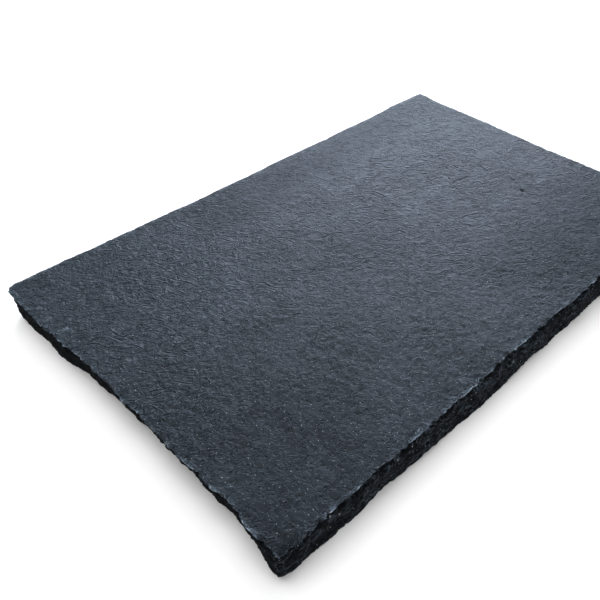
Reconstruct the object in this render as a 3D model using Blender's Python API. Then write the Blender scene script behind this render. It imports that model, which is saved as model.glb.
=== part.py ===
"""A hand-dressed tile of black limestone, modelled as the one solid stone that it is.

The stone was split from its bed, so the upper face is riven: nearly flat, with low swells and thin
steps where a lamina ran out. The mason then struck the four edges with a chisel. Each blow took a
scallop out of the arris, and the break ran down and inwards through the laminae, which left a
stepped, undercut edge on a narrower underside. The underside is flat and is what the tile beds on.

Run with: blender --background --python part.py
Units are metres. +X runs along the tile, +Y across it and +Z up. The origin is on the bed, at the
middle of the tile's bounding box.
"""

import math
import random
from collections import namedtuple

import bmesh
import bpy
from mathutils import Vector, noise

# Driving dimensions: the size that the tile is dressed to.
LENGTH = 0.600
WIDTH = 0.380
THICKNESS = 0.030

# How the upper face is divided: narrow cells along the arris, which hold its chips, and even ones inside.
ARRIS_CELLS = (0.0035, 0.008, 0.014)
EVEN_CELLS_LONG = 50
EVEN_CELLS_WIDE = 32

# The bedding planes that the edges break along, as depths below the upper face.
BEDDING = (0.0056, 0.0118, 0.0176, 0.0240)
BEDDING_WANDER = 0.0030
BEDDING_WAVELENGTH = 0.075
LEDGE_RISE = 0.0009

# The riven face: wide swells, and the thin steps where a lamina ended.
SWELL_WAVELENGTH = 0.140
SWELL_HEIGHT = 0.0009
LAMINA_WAVELENGTH = (0.106, 0.065)
LAMINA_STEP = 0.0005
LAMINA_COUNT = 3
LAMINA_RAMP = 0.6

# The broken edge faces: a lip left under the arris, a hollow below it, layers that stand in and out,
# and the shell-shaped scars of single blows.
LIP = 0.0020
LIP_OVERHANG = 0.0007
UNDERCUT_CURVE = 0.8
LAYER_RELIEF = 0.0024
LAYER_WAVELENGTH = 0.034
LAYER_UNLIKENESS = 0.75
SCAR_SIZE = 0.026
SCAR_DEPTH = 0.0024

# The corners are knocked back, more so at the foot than at the arris.
CORNER_ROUNDING = 0.0020
CORNER_ROUNDING_AT_FOOT = 0.0050
CORNER_REACH = 0.012

# The arris: fine raggedness all along, and the run of chisel scallops on the back and right sides.
ARRIS_RAGGEDNESS = 0.0006
ARRIS_RAG_WAVELENGTH = 0.013
CHISEL_SEED = 11
CHISEL_START = 0.020
CHISEL_HALF_WIDTH = (0.010, 0.022)
CHISEL_PITCH_PER_HALF_WIDTH = (1.3, 2.4)
CHISEL_DEPTH = (0.0004, 0.0024)

# A flake lost from the front left corner, which left a low shelf below the upper face.
FLAKE_CENTRE = (-0.2925, -0.1905)
FLAKE_REACH = (0.0120, 0.0060)
FLAKE_DROP = 0.0030
FLAKE_RIM = 0.22

STONE_COLOUR = (0.040, 0.048, 0.060, 1.0)
STONE_ROUGHNESS = 0.62

# One dressed side, from one corner to the next, anticlockwise from above. arris and undercut are
# smooth lines through (distance along the side, value): how far the arris stands out from the nominal
# rectangle, and how far the foot is drawn in behind it. bites are chisel scallops in the arris, each
# (distance along the side of its middle, half its width, depth).
Side = namedtuple("Side", "outward length arris undercut bites")

X, Y = Vector((1, 0, 0)), Vector((0, 1, 0))


def chisel_run(length, rng):
    """Scallops struck one after another along a side."""
    bites, at = [], CHISEL_START
    while at < length - CHISEL_START:
        half_width = rng.uniform(*CHISEL_HALF_WIDTH)
        bites.append((at, half_width, rng.uniform(*CHISEL_DEPTH)))
        at += half_width * rng.uniform(*CHISEL_PITCH_PER_HALF_WIDTH)
    return tuple(bites)


def dressed_sides():
    """The four sides, in the order that the outline is walked."""
    rng = random.Random(CHISEL_SEED)
    front = Side(
        outward=-Y, length=LENGTH,
        arris=((0, 0.0027), (0.15, 0.0002), (0.33, -0.0016), (0.46, -0.0004), (0.6, 0)),
        undercut=((0, 0.0004), (0.1, -0.0012), (0.2, -0.0028), (0.265, -0.004), (0.32, -0.0016), (0.6, 0.003)),
        bites=(
            (0.058, 0.011, 0.0015), (0.104, 0.013, 0.0012), (0.196, 0.012, 0.0014), (0.262, 0.015, 0.0011),
            (0.352, 0.012, 0.0013), (0.418, 0.018, 0.0015), (0.505, 0.014, 0.0017), (0.556, 0.010, 0.0010),
        ),
    )  # fmt: skip
    right = Side(
        outward=X, length=WIDTH,
        arris=((0, 0.0008), (0.12, 0.0012), (0.19, 0.0014), (0.25, 0.0036), (0.38, 0.0046)),
        undercut=((0, 0.003), (0.1, 0.0065), (0.21, 0.004), (0.3, 0.0085), (0.38, 0.005)),
        bites=chisel_run(WIDTH, rng),
    )  # fmt: skip
    back = Side(
        outward=Y, length=LENGTH,
        arris=(
            (0, -0.0008), (0.1, -0.001), (0.25, -0.0034), (0.4, -0.002),
            (0.49, -0.001), (0.56, 0.003), (0.6, 0.003),
        ),
        undercut=((0, 0.0045), (0.13, 0.007), (0.27, 0.0045), (0.43, 0.008), (0.6, 0.009)),
        bites=chisel_run(LENGTH, rng),
    )  # fmt: skip
    left = Side(
        outward=-X, length=WIDTH,
        arris=((0, 0.0022), (0.01, 0.0052), (0.09, 0.0046), (0.135, 0.0018), (0.25, -0.0002), (0.38, 0.0004)),
        undercut=((0, 0.0022), (0.085, 0.004), (0.125, 0.0086), (0.24, 0.014), (0.322, 0.0112), (0.38, 0.0025)),
        bites=(
            (0.026, 0.012, 0.0008), (0.062, 0.014, 0.0010), (0.124, 0.010, 0.0012), (0.172, 0.009, 0.0036),
            (0.211, 0.008, 0.0022), (0.238, 0.014, 0.0011), (0.291, 0.007, 0.0034), (0.324, 0.018, 0.0038),
            (0.362, 0.009, 0.0010),
        ),
    )  # fmt: skip
    return (front, right, back, left)


def smooth_line(stops, at):
    """The value at a distance along a line that eases from each stop to the next."""
    for (p0, v0), (p1, v1) in zip(stops, stops[1:]):
        if at <= p1:
            t = max(0.0, (at - p0) / (p1 - p0))
            return v0 + (v1 - v0) * t * t * (3 - 2 * t)
    return stops[-1][1]


def scallop(bites, at):
    """How deep the chisel bit into the arris there. Neighbouring scallops meet in a cusp."""
    return max([depth * max(0.0, 1 - ((at - p) / half) ** 2) for p, half, depth in bites], default=0.0)


def divisions(length, even_cells):
    """Distances along a side from 0 to its length, close together at both ends."""
    inner = length - 2 * ARRIS_CELLS[-1]
    middle = [ARRIS_CELLS[-1] + inner * n / even_cells for n in range(1, even_cells)]
    return [0.0, *ARRIS_CELLS, *middle, *[length - cell for cell in reversed(ARRIS_CELLS)], length]


def edge_rows():
    """Depths of the rows of points down an edge face: the lip, then a pair of rows at each bedding plane."""
    ledges = [depth + half * LEDGE_RISE / 2 for depth in BEDDING for half in (-1, 1)]
    return [0.0, LIP, *ledges, THICKNESS]


def layer_of(depth):
    return sum(depth > plane for plane in BEDDING)


def break_relief(point, depth):
    """How far the broken face is set back at a point: each layer by its own amount, and scars across them."""
    layer = layer_of(depth)
    along = Vector((point.x, point.y, 0)) / LAYER_WAVELENGTH
    ragged = noise.noise(along + Vector((0, 0, layer * LAYER_UNLIKENESS)))
    scar = noise.voronoi(Vector((point.x, point.y, THICKNESS - depth)) / SCAR_SIZE)[0][0]
    overhang = LIP_OVERHANG if layer == 0 else 0.0
    return overhang + ragged * LAYER_RELIEF + (0.5 - scar) * SCAR_DEPTH


def set_back(side, at, point, depth):
    """How far a side's face lies behind its arris at that depth: the undercut opens below the lip."""
    opened = (depth / THICKNESS) ** UNDERCUT_CURVE * min(1.0, depth / (2 * LIP))
    rough = break_relief(point, depth) * min(1.0, depth / (1.5 * LIP))
    return smooth_line(side.undercut, at) * opened + rough


def corner_points(sides):
    """The nominal corners, each at the start of its side, moved out by both of its sides' arris lines."""
    corners = []
    for n, (east, north) in enumerate(((-1, -1), (1, -1), (1, 1), (-1, 1))):
        starts, ends = sides[n], sides[n - 1]
        nominal = X * east * LENGTH / 2 + Y * north * WIDTH / 2
        corners.append(nominal + starts.outward * starts.arris[0][1] + ends.outward * ends.arris[-1][1])
    return corners


def between(a, b, share):
    return a + (b - a) * share


def corner_loss(side, at, depth):
    """How far a side is knocked back near the corners at its two ends."""
    loss = between(CORNER_ROUNDING, CORNER_ROUNDING_AT_FOOT, depth / THICKNESS)
    nearest = min(at, side.length - at)
    return loss * max(0.0, 1 - nearest / CORNER_REACH) ** 2


def arris_offset(side, at, point):
    """How far the arris stands out from the straight line between its corners."""
    share = at / side.length
    bow = smooth_line(side.arris, at) - between(side.arris[0][1], side.arris[-1][1], share)
    clear_of_corners = min(1.0, at / ARRIS_CELLS[-1], (side.length - at) / ARRIS_CELLS[-1])
    ragged = noise.noise(point / ARRIS_RAG_WAVELENGTH) * ARRIS_RAGGEDNESS
    return bow + (ragged - scallop(side.bites, at)) * clear_of_corners


def outline(sides, stops, depth):
    """The closed loop of points round the tile at a depth, with the arris at depth 0."""
    corners = corner_points(sides)
    start_set_back = [set_back(side, 0.0, corners[n], depth) for n, side in enumerate(sides)]
    end_set_back = [set_back(side, side.length, corners[(n + 1) % 4], depth) for n, side in enumerate(sides)]
    drawn_in = [
        corner - sides[n].outward * start_set_back[n] - sides[n - 1].outward * end_set_back[n - 1]
        for n, corner in enumerate(corners)
    ]
    loop = []
    for n, side in enumerate(sides):
        after = (n + 1) % 4
        for at in stops[n][:-1]:
            share = at / side.length
            above = corners[n].lerp(corners[after], share)
            behind = set_back(side, at, above, depth) - between(start_set_back[n], end_set_back[n], share)
            offset = arris_offset(side, at, above) - behind - corner_loss(side, at, depth)
            loop.append(drawn_in[n].lerp(drawn_in[after], share) + side.outward * offset)
    return loop


def riven_height(x, y):
    """Height of the split face above its mean plane: swells, and low steps along their own contours."""
    swell = noise.fractal(Vector((x, y, 0)) / SWELL_WAVELENGTH, 1.0, 2.0, 3) * SWELL_HEIGHT
    field = noise.noise(Vector((x / LAMINA_WAVELENGTH[0], y / LAMINA_WAVELENGTH[1], 0.5))) * LAMINA_COUNT
    tread = math.floor(field)
    rise = min(1.0, max(0.0, (field - tread - 0.5) / LAMINA_RAMP + 0.5))
    return swell + (tread + rise) * LAMINA_STEP


def flake_drop(x, y):
    """How far the lost flake lowers the corner: a shelf with a steep inner rim."""
    across = math.hypot((x - FLAKE_CENTRE[0]) / FLAKE_REACH[0], (y - FLAKE_CENTRE[1]) / FLAKE_REACH[1])
    return FLAKE_DROP * min(1.0, max(0.0, (1.0 - across) / FLAKE_RIM))


def top_height(point):
    return THICKNESS + riven_height(point.x, point.y) - flake_drop(point.x, point.y)


def face_grid(arris, long_stops, wide_stops):
    """Rows of points over the upper face, stretched between the four sides of its arris loop."""
    nx, ny = len(long_stops) - 1, len(wide_stops) - 1
    front = arris[: nx + 1]
    right = arris[nx : nx + ny + 1]
    back = arris[nx + ny : 2 * nx + ny + 1][::-1]
    left = [arris[0], *arris[2 * nx + ny :][::-1]]
    grid = []
    for j, y in enumerate(wide_stops):
        v = y / WIDTH
        row = []
        for i, x in enumerate(long_stops):
            u = x / LENGTH
            across, along = front[i].lerp(back[i], v), left[j].lerp(right[j], u)
            row.append(across + along - front[0].lerp(front[-1], u).lerp(back[0].lerp(back[-1], u), v))
        grid.append(row)
    return grid


def ring_of(grid):
    """The outermost entries of a grid, walked as the outline is."""
    front, back = grid[0], grid[-1][::-1]
    right = [row[-1] for row in grid[1:-1]]
    left = [row[0] for row in grid[1:-1]][::-1]
    return [*front, *right, *back, *left]


def add_face_grid(bm, grid):
    verts = [[bm.verts.new((p.x, p.y, top_height(p))) for p in row] for row in grid]
    for lower, upper in zip(verts, verts[1:]):
        for i in range(len(lower) - 1):
            bm.faces.new((lower[i], lower[i + 1], upper[i + 1], upper[i]))
    return verts


def ledge_height(point, top, depth):
    """Height of a row's point under an arris at height top. The bedding planes wander on their way."""
    height = top * (1 - depth / THICKNESS)
    if depth <= LIP or depth >= THICKNESS:
        return height
    plane = min(BEDDING, key=lambda at: abs(at - depth))
    wander = noise.noise(Vector((point.x, point.y, plane * 10)) / BEDDING_WAVELENGTH)
    return height + wander * BEDDING_WANDER


def add_edge_faces(bm, top_ring, loops, depths):
    """Bands of faces down the edges, from the arris to the bed. Returns the ring of points on the bed."""
    above = top_ring
    for loop, depth in zip(loops, depths):
        below = [bm.verts.new((p.x, p.y, ledge_height(p, v.co.z, depth))) for p, v in zip(loop, top_ring)]
        for k in range(len(below)):
            nxt = (k + 1) % len(below)
            bm.faces.new((above[k], below[k], below[nxt], above[nxt]))
        above = below
    return above


def stand_on_origin(bm):
    """Moves the stone so that the origin is at the middle of its box, on the bed."""
    xs = [v.co.x for v in bm.verts]
    ys = [v.co.y for v in bm.verts]
    middle = Vector(((min(xs) + max(xs)) / 2, (min(ys) + max(ys)) / 2, 0))
    bmesh.ops.translate(bm, verts=bm.verts, vec=-middle)


def stone_mesh():
    sides = dressed_sides()
    long_stops = divisions(LENGTH, EVEN_CELLS_LONG)
    wide_stops = divisions(WIDTH, EVEN_CELLS_WIDE)
    stops = (long_stops, wide_stops, long_stops, wide_stops)
    depths = edge_rows()
    loops = [outline(sides, stops, depth) for depth in depths]
    bm = bmesh.new()
    verts = add_face_grid(bm, face_grid(loops[0], long_stops, wide_stops))
    bed_ring = add_edge_faces(bm, ring_of(verts), loops[1:], depths[1:])
    bm.faces.new(bed_ring[::-1])
    stand_on_origin(bm)
    mesh = bpy.data.meshes.new("limestone_tile")
    bm.to_mesh(mesh)
    bm.free()
    return mesh


def stone_material():
    material = bpy.data.materials.new("black_limestone")
    material.use_nodes = True
    shader = material.node_tree.nodes["Principled BSDF"]
    shader.inputs["Base Color"].default_value = STONE_COLOUR
    shader.inputs["Roughness"].default_value = STONE_ROUGHNESS
    shader.inputs["Metallic"].default_value = 0.0
    return material


def clear_scene():
    for item in list(bpy.data.objects):
        bpy.data.objects.remove(item)


def main():
    clear_scene()
    tile = bpy.data.objects.new("limestone_tile", stone_mesh())
    tile.data.materials.append(stone_material())
    bpy.context.scene.collection.objects.link(tile)


main()
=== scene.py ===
# %% [markdown]
# # A riven tile of black limestone
# The stone is one solid slab, about 61 cm long, 39 cm wide and 3 cm thick. Its upper face was split from
# the rock's bed and is covered with fine wrinkles, grains and pin-prick pits. Its four edges were broken
# with a chisel and show the bedding as rough, dark layers, and its underside is flat. The frame holds the
# plain solid. This script dresses it with a finer mesh that follows the solid, relief from a Geometry
# Nodes tree, one detailed material, and a plain studio.

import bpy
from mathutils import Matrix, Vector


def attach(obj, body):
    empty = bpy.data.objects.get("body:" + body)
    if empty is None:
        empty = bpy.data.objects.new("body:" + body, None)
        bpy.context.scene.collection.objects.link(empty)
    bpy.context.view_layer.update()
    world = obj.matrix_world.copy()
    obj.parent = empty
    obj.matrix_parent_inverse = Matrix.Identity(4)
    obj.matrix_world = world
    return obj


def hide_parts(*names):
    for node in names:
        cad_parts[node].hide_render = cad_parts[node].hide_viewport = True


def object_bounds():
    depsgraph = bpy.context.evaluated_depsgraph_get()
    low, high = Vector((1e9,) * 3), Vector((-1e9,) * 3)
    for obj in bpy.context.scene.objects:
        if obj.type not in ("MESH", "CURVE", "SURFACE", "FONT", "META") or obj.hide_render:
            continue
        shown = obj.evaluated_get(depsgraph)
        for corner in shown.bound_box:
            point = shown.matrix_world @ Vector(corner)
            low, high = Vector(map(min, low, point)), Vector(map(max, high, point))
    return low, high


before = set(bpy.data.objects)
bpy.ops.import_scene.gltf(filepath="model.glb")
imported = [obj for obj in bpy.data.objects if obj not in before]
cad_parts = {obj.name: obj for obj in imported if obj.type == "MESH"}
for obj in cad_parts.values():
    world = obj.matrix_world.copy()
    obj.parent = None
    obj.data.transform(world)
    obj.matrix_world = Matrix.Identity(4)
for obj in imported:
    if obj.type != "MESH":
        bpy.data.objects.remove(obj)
cad_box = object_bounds()
print("solid's box in millimetres:", [[round(c * 1000, 2) for c in corner] for corner in cad_box])

# %% [markdown]
# ## Units
# Blender measures in metres, but a stone's relief is easier to think of in millimetres, so every size
# below is a plain number times `MM`. The alternative, a scene with its own unit scale, would only change
# what the viewport shows and not the numbers that a script reads and writes.

# %% tools and units
import math

import bmesh
import bpy
from mathutils import Vector, geometry

MM = 0.001
scene = bpy.context.scene
cad_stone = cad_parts["limestone_tile"]
box_low, box_high = (Vector(corner) for corner in cad_box)
print("thickness in millimetres:", round((box_high.z - box_low.z) / MM, 2))

# %% [markdown]
# ## Camera
# The camera stands in front of the left end of the tile at about knee height and looks down across it,
# so the right-hand corner runs out of the view. Aiming it at a point on the floor, with an Empty or by
# hand in the viewport, would do as well. Here the turn is worked out from the line of sight with
# `to_track_quat`, which keeps the horizon level and needs no constraint.

# %% the camera
CAMERA_AT = Vector((-0.447980, -0.372403, 0.470552))
CAMERA_LOOKS_AT = Vector((-0.087901, 0.012551, 0.0))
CAMERA_LENS = 42.4325
CAMERA_NEAREST = 0.01

camera_data = bpy.data.cameras.new("camera")
camera_data.lens = CAMERA_LENS
camera_data.clip_start = CAMERA_NEAREST
camera = bpy.data.objects.new("camera", camera_data)
camera.location = CAMERA_AT
camera.rotation_euler = (CAMERA_LOOKS_AT - CAMERA_AT).to_track_quat("-Z", "Y").to_euler()
scene.collection.objects.link(camera)
scene.camera = camera
downwards = math.asin(CAMERA_AT.z / (CAMERA_LOOKS_AT - CAMERA_AT).length)
print("camera looks down by degrees:", round(math.degrees(downwards), 1))

# %% [markdown]
# ## A finer mesh of the stone
# The solid's mesh is loose triangles about 11 mm across, too coarse for wrinkles a few millimetres wide.
# A voxel remesh would make it finer, but would also blunt the sharp arris round the upper face. The
# triangles pair up into rows of four-sided faces, and such rows can be divided evenly without losing an
# edge, so that is what is done: merge the corners, open the bed, and join the triangles.

# %% merge the solid's triangles into rows of quads
MERGE_DISTANCE = 0.001 * MM
BED_LEVEL = 0.01 * MM
ANY_ANGLE = math.pi
KEEP_ROWS = 2.0

bm = bmesh.new()
bm.from_mesh(cad_stone.data)
bmesh.ops.remove_doubles(bm, verts=bm.verts, dist=MERGE_DISTANCE)
bed_faces = [face for face in bm.faces if all(v.co.z < BED_LEVEL for v in face.verts)]
bmesh.ops.delete(bm, geom=bed_faces, context="FACES")
bmesh.ops.join_triangles(
    bm, faces=bm.faces, angle_face_threshold=ANY_ANGLE, angle_shape_threshold=ANY_ANGLE,
    topology_influence=KEEP_ROWS,
)  # fmt: skip
print("quads:", sum(len(f.verts) == 4 for f in bm.faces), "others:", sum(len(f.verts) != 4 for f in bm.faces))

# %% [markdown]
# ## The arris
# The arris is the line where the upper face meets the broken edges. It could be found by the angle
# between faces, but a riven face bends too. On a mesh of quads no angle is needed: only the arris's four
# corners have three edges and not four. A walk straight on from such a corner either comes to the next
# corner, along the arris, or runs down to the open bed. The arris then gets a full crease, so that
# Subdivision Surface keeps it sharp.

# %% find the arris, the upper face and the broken edges
TOP, EDGE, BED = 0, 1, 2


def walk_to_corner(corner, edge):
    """The edges from a corner straight on to the next corner, or none if the walk leaves the mesh."""
    path, vert = [edge], edge.other_vert(corner)
    while not vert.is_boundary:
        if len(vert.link_edges) == 3:
            return path
        beside = set(path[-1].link_faces)
        path.append(next(e for e in vert.link_edges if not beside & set(e.link_faces)))
        vert = path[-1].other_vert(vert)
    return []


crease = bm.edges.layers.float.new("crease_edge")
region = bm.faces.layers.int.new("region")
corners = [v for v in bm.verts if len(v.link_edges) == 3 and not v.is_boundary]
arris = {edge for corner in corners for first in corner.link_edges for edge in walk_to_corner(corner, first)}
for edge in arris:
    edge[crease] = 1.0

for face in bm.faces:
    face[region] = EDGE
middle = (box_low + box_high) / 2
middle.z = box_high.z
reached = [min(bm.faces, key=lambda f: (f.calc_center_median() - middle).length)]
reached[0][region] = TOP
while reached:
    for edge in reached.pop().edges:
        for face in edge.link_faces:
            if edge not in arris and face[region] != TOP:
                face[region] = TOP
                reached.append(face)
print("corners:", len(corners), "arris edges:", len(arris))
print("upper quads:", sum(face[region] == TOP for face in bm.faces))

# %% [markdown]
# ## Finer rows
# One level of Subdivision Surface rounds the coarse facets into even curves. A second and a third level
# would divide the already narrow rows of the edges as finely as the wide cells of the face, and spend
# the triangles where nothing shows. So the long edges alone are then cut in three, which leaves cells of
# about 2 mm nearly everywhere.

# %% divide it
LONG_EDGE = 4.2 * MM
EXTRA_CUTS = 2


def plain_mesh(obj, name):
    """What an object's modifiers make of it, as a mesh of its own."""
    evaluated = obj.evaluated_get(bpy.context.evaluated_depsgraph_get())
    mesh = bpy.data.meshes.new_from_object(evaluated)
    mesh.name = name
    return mesh


stone = bpy.data.objects.new("riven_stone", bpy.data.meshes.new("riven_stone"))
scene.collection.objects.link(stone)
bm.to_mesh(stone.data)
bm.free()
rounding = stone.modifiers.new("rounding", "SUBSURF")
rounding.levels = rounding.render_levels = 1
stone.data = plain_mesh(stone, "rounded_stone")
stone.modifiers.clear()

bm = bmesh.new()
bm.from_mesh(stone.data)
region = bm.faces.layers.int["region"]
long_edges = [e for e in bm.edges if (e.verts[0].co - e.verts[1].co).xy.length > LONG_EDGE]
bmesh.ops.subdivide_edges(bm, edges=long_edges, cuts=EXTRA_CUTS, use_grid_fill=True)
print("faces:", len(bm.faces), "not four-sided:", sum(len(f.verts) != 4 for f in bm.faces))

# %% [markdown]
# ## The bed
# The bed closes the stone from below. One face with a thousand corners would do for a flat bed, but this
# one gets faint hollows too, so it needs points inside its outline. A grid of points, each nudged off
# its place so that no straight rows show, is joined to the outline by a Delaunay triangulation. The
# nudges come from sines with large steps, which look random and are the same in every run.

# %% close the bed
BED_SPACING = 7.0 * MM
BED_MARGIN = 0.6
BED_NUDGE = 0.25
NUDGE_X = (12.9, 78.2)
NUDGE_Y = (39.3, -11.1)
SAME_POINT = 1e-7
INSIDE_ONLY = 1


def ring_of(edges):
    """The corner points of a closed run of edges, in order."""
    first = edges[0]
    ring, edge = [first.verts[0]], first
    while True:
        vert = edge.other_vert(ring[-1])
        if vert is ring[0]:
            return ring
        ring.append(vert)
        edge = next(e for e in vert.link_edges if e.is_boundary and e is not edge)


ring = ring_of([e for e in bm.edges if e.is_boundary])
outline = [vert.co.xy for vert in ring]
inner = []
for row in range(1, int((box_high.y - box_low.y) / BED_SPACING)):
    for column in range(1, int((box_high.x - box_low.x) / BED_SPACING)):
        nudge_x = math.sin(NUDGE_X[0] * row + NUDGE_X[1] * column)
        nudge = Vector((nudge_x, math.cos(NUDGE_Y[0] * row + NUDGE_Y[1] * column)))
        spot = box_low.xy + (Vector((column, row)) + nudge * BED_NUDGE) * BED_SPACING
        if min((spot - corner).length for corner in outline[::3]) > BED_MARGIN * BED_SPACING:
            inner.append(spot)
count = len(outline)
fence = [(n, (n + 1) % count) for n in range(count)]
points, _, faces, origin, _, _ = geometry.delaunay_2d_cdt(outline + inner, fence, [], INSIDE_ONLY, SAME_POINT)
verts = [ring[o[0]] if o and o[0] < count else bm.verts.new((*p, 0.0)) for p, o in zip(points, origin)]
for face in faces:
    bm.faces.new([verts[n] for n in face])[region] = BED
bmesh.ops.recalc_face_normals(bm, faces=bm.faces)
bm.to_mesh(stone.data)
print("bed faces:", len(faces), "open edges:", sum(not e.is_manifold for e in bm.edges))
bm.free()

# %% [markdown]
# ## Relief
# A riven face is not smooth: it is covered with low, curling wrinkles a few millimetres apart, has small
# hollows where a grain came out, and steps down by a hair where a lamina ends. The broken edges are far
# rougher: layers that stand in and out, and the shell-shaped scars of single blows. All of it follows
# one rule everywhere, so it is made with Geometry Nodes: textures read at each point's position push
# that point in or out, and named inputs on the modifier say how far. Sculpting would take hours and
# could not be changed by a number afterwards.
#
# A tree of nodes is a long sum, and written out call by call it fills pages. So one helper adds a node
# and fills its inputs, and a small class gives plain names to the sums and textures. The material's tree
# uses the same helpers, because both kinds of tree share these nodes.

# %% one node
def add_node(tree, kind, inputs=(), **settings):
    """Adds a node. Each of its inputs is given by name or number, as a value or as another's output."""
    node = tree.nodes.new(kind)
    for name, value in settings.items():
        setattr(node, name, value)
    for key, value in dict(inputs).items():
        if isinstance(value, bpy.types.NodeSocket):
            tree.links.new(value, node.inputs[key])
        else:
            node.inputs[key].default_value = value
    return node


print("helper made:", add_node.__name__)


# %% sums and textures
class Maths:
    """Short names for the sums and textures that a tree of nodes is made of."""

    def __init__(self, tree):
        self.tree = tree

    def do(self, operation, *values, clamp=False):
        inputs = dict(enumerate(values))
        return add_node(self.tree, "ShaderNodeMath", inputs, operation=operation, use_clamp=clamp).outputs[0]

    def chain(self, operation, values):
        """One operation over many values, two at a time."""
        total, *others = values
        for value in others:
            total = self.do(operation, total, value)
        return total

    def add(self, *values):
        return self.chain("ADD", values)

    def mul(self, *values):
        return self.chain("MULTIPLY", values)

    def most(self, *values):
        return self.chain("MAXIMUM", values)

    def weighed(self, *pairs):
        """The sum of some values, each times its weight."""
        return self.add(*(self.mul(value, weight) for value, weight in pairs))

    def sub(self, a, b):
        return self.do("SUBTRACT", a, b)

    def div(self, a, b):
        return self.do("DIVIDE", a, b)

    def power(self, a, b):
        return self.do("POWER", a, b)

    def ramp(self, value, low, high, to_low=0.0, to_high=1.0):
        """Eases a value from one range to another and stops at both ends."""
        inputs = {"Value": value, "From Min": low, "From Max": high, "To Min": to_low, "To Max": to_high}
        node = add_node(self.tree, "ShaderNodeMapRange", inputs, interpolation_type="SMOOTHSTEP")
        return node.outputs["Result"]

    def fall(self, value, low, high, end=0.0):
        """Eases from 1 down to an end while a value goes from low to high."""
        return self.ramp(value, low, high, 1.0, end)

    def blend(self, share, at_none, at_all):
        """Eases from one value to another while a share goes from 0 to 1."""
        return self.ramp(share, 0.0, 1.0, at_none, at_all)

    def ridge(self, value):
        """Turns a noise into ridges: highest where it crosses its middle, falling to both sides."""
        return self.sub(1.0, self.do("ABSOLUTE", self.do("MULTIPLY_ADD", value, 2.0, -1.0)))

    def vector(self, operation, a, b=None, output=0):
        inputs = {0: a} if b is None else {0: a, 1: b}
        return add_node(self.tree, "ShaderNodeVectorMath", inputs, operation=operation).outputs[output]

    def dot(self, a, b):
        return self.vector("DOT_PRODUCT", a, b, output=1)

    def distance(self, a, b):
        return self.vector("DISTANCE", a, b, output=1)

    def scaled(self, vector, factor):
        node = add_node(self.tree, "ShaderNodeVectorMath", {0: vector, "Scale": factor}, operation="SCALE")
        return node.outputs[0]

    def parts(self, vector):
        """The three numbers of a place or a colour."""
        return add_node(self.tree, "ShaderNodeSeparateXYZ", {0: vector}).outputs[:3]

    def noise(self, place, detail=2.0, roughness=0.5, output=0):
        inputs = {"Vector": place, "Scale": 1.0, "Detail": detail, "Roughness": roughness}
        return add_node(self.tree, "ShaderNodeTexNoise", inputs).outputs[output]

    def cells(self, place, output="Distance", dimensions="3D"):
        inputs = {"Vector": place, "Scale": 1.0}
        node = add_node(self.tree, "ShaderNodeTexVoronoi", inputs, voronoi_dimensions=dimensions)
        return node.outputs[output]


print("short names:", ", ".join(name for name in vars(Maths) if not name.startswith("_")))

# %% [markdown]
# ## The tree and its inputs
# Every size of the relief is an input of the tree with a plain name, so that it can be changed on the
# modifier without opening the tree. Numbers typed into the nodes would work too, but nobody would find
# them again. The two corners keep the relief inside the solid's box. From here on, `m` writes the sums
# of the relief's tree, and `s`, further down, those of the material's tree.

# %% the sizes of the relief
RELIEF_INPUTS = {
    "Wrinkle height": 0.55 * MM, "Wrinkle spacing": 7.0 * MM,
    "Grain height": 0.24 * MM, "Grain spacing": 3.6 * MM,
    "Fold height": 0.45 * MM, "Fold spacing": 14.0 * MM,
    "Hollow depth": 0.30 * MM, "Hollow spacing": 10.0 * MM,
    "Lamina step": 0.14 * MM, "Lamina spacing": 46.0 * MM,
    "Chip depth": 1.3 * MM, "Chip spacing": 6.0 * MM, "Chip reach": 5.0 * MM,
    "Jag depth": 0.6 * MM, "Jag spacing": 5.0 * MM,
    "Nick depth": 1.8 * MM, "Nick spacing": 7.0 * MM,
    "Overhang depth": 2.6 * MM,
    "Ledge depth": 1.7 * MM, "Ledge spacing": 26.0 * MM,
    "Crumble depth": 1.6 * MM, "Crumble spacing": 4.2 * MM,
    "Scar depth": 1.2 * MM, "Scar spacing": 13.0 * MM,
    "Bed hollow depth": 0.7 * MM, "Bed hollow spacing": 42.0 * MM,
}  # fmt: skip
print("deepest relief in millimetres:", max(v / MM for name, v in RELIEF_INPUTS.items() if "depth" in name))

# %% the tree and its inputs
relief = bpy.data.node_groups.new("riven_relief", "GeometryNodeTree")
relief.is_modifier = True
relief.interface.new_socket("Geometry", in_out="INPUT", socket_type="NodeSocketGeometry")
relief.interface.new_socket("Geometry", in_out="OUTPUT", socket_type="NodeSocketGeometry")
for name in RELIEF_INPUTS:
    socket = relief.interface.new_socket(name, in_out="INPUT", socket_type="NodeSocketFloat")
    socket.subtype = "DISTANCE"
for name in ("Lowest corner", "Highest corner"):
    relief.interface.new_socket(name, in_out="INPUT", socket_type="NodeSocketVector")
relief.interface.new_socket("Material", in_out="INPUT", socket_type="NodeSocketMaterial")
given = add_node(relief, "NodeGroupInput").outputs
m = Maths(relief)
place = add_node(relief, "GeometryNodeInputPosition").outputs[0]
print("inputs:", sum(item.in_out == "INPUT" for item in relief.interface.items_tree))

# %% [markdown]
# ## Regions and distances
# Every kind of relief belongs to one region. The mesh carries the region of each face as a number, and
# a point takes the mean of its faces, so a point on the arris is half on the face and half on the edge.
# The distance to the arris comes from Geometry Proximity: the edges between two regions are separated
# out, and each point asks how far it is to the nearest of them. Vertex groups would serve as well, but
# would have to be filled point by point.

# %% regions and distances
stored_region = add_node(relief, "GeometryNodeInputNamedAttribute", {"Name": "region"}, data_type="INT")
region_at = stored_region.outputs[0]


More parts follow.
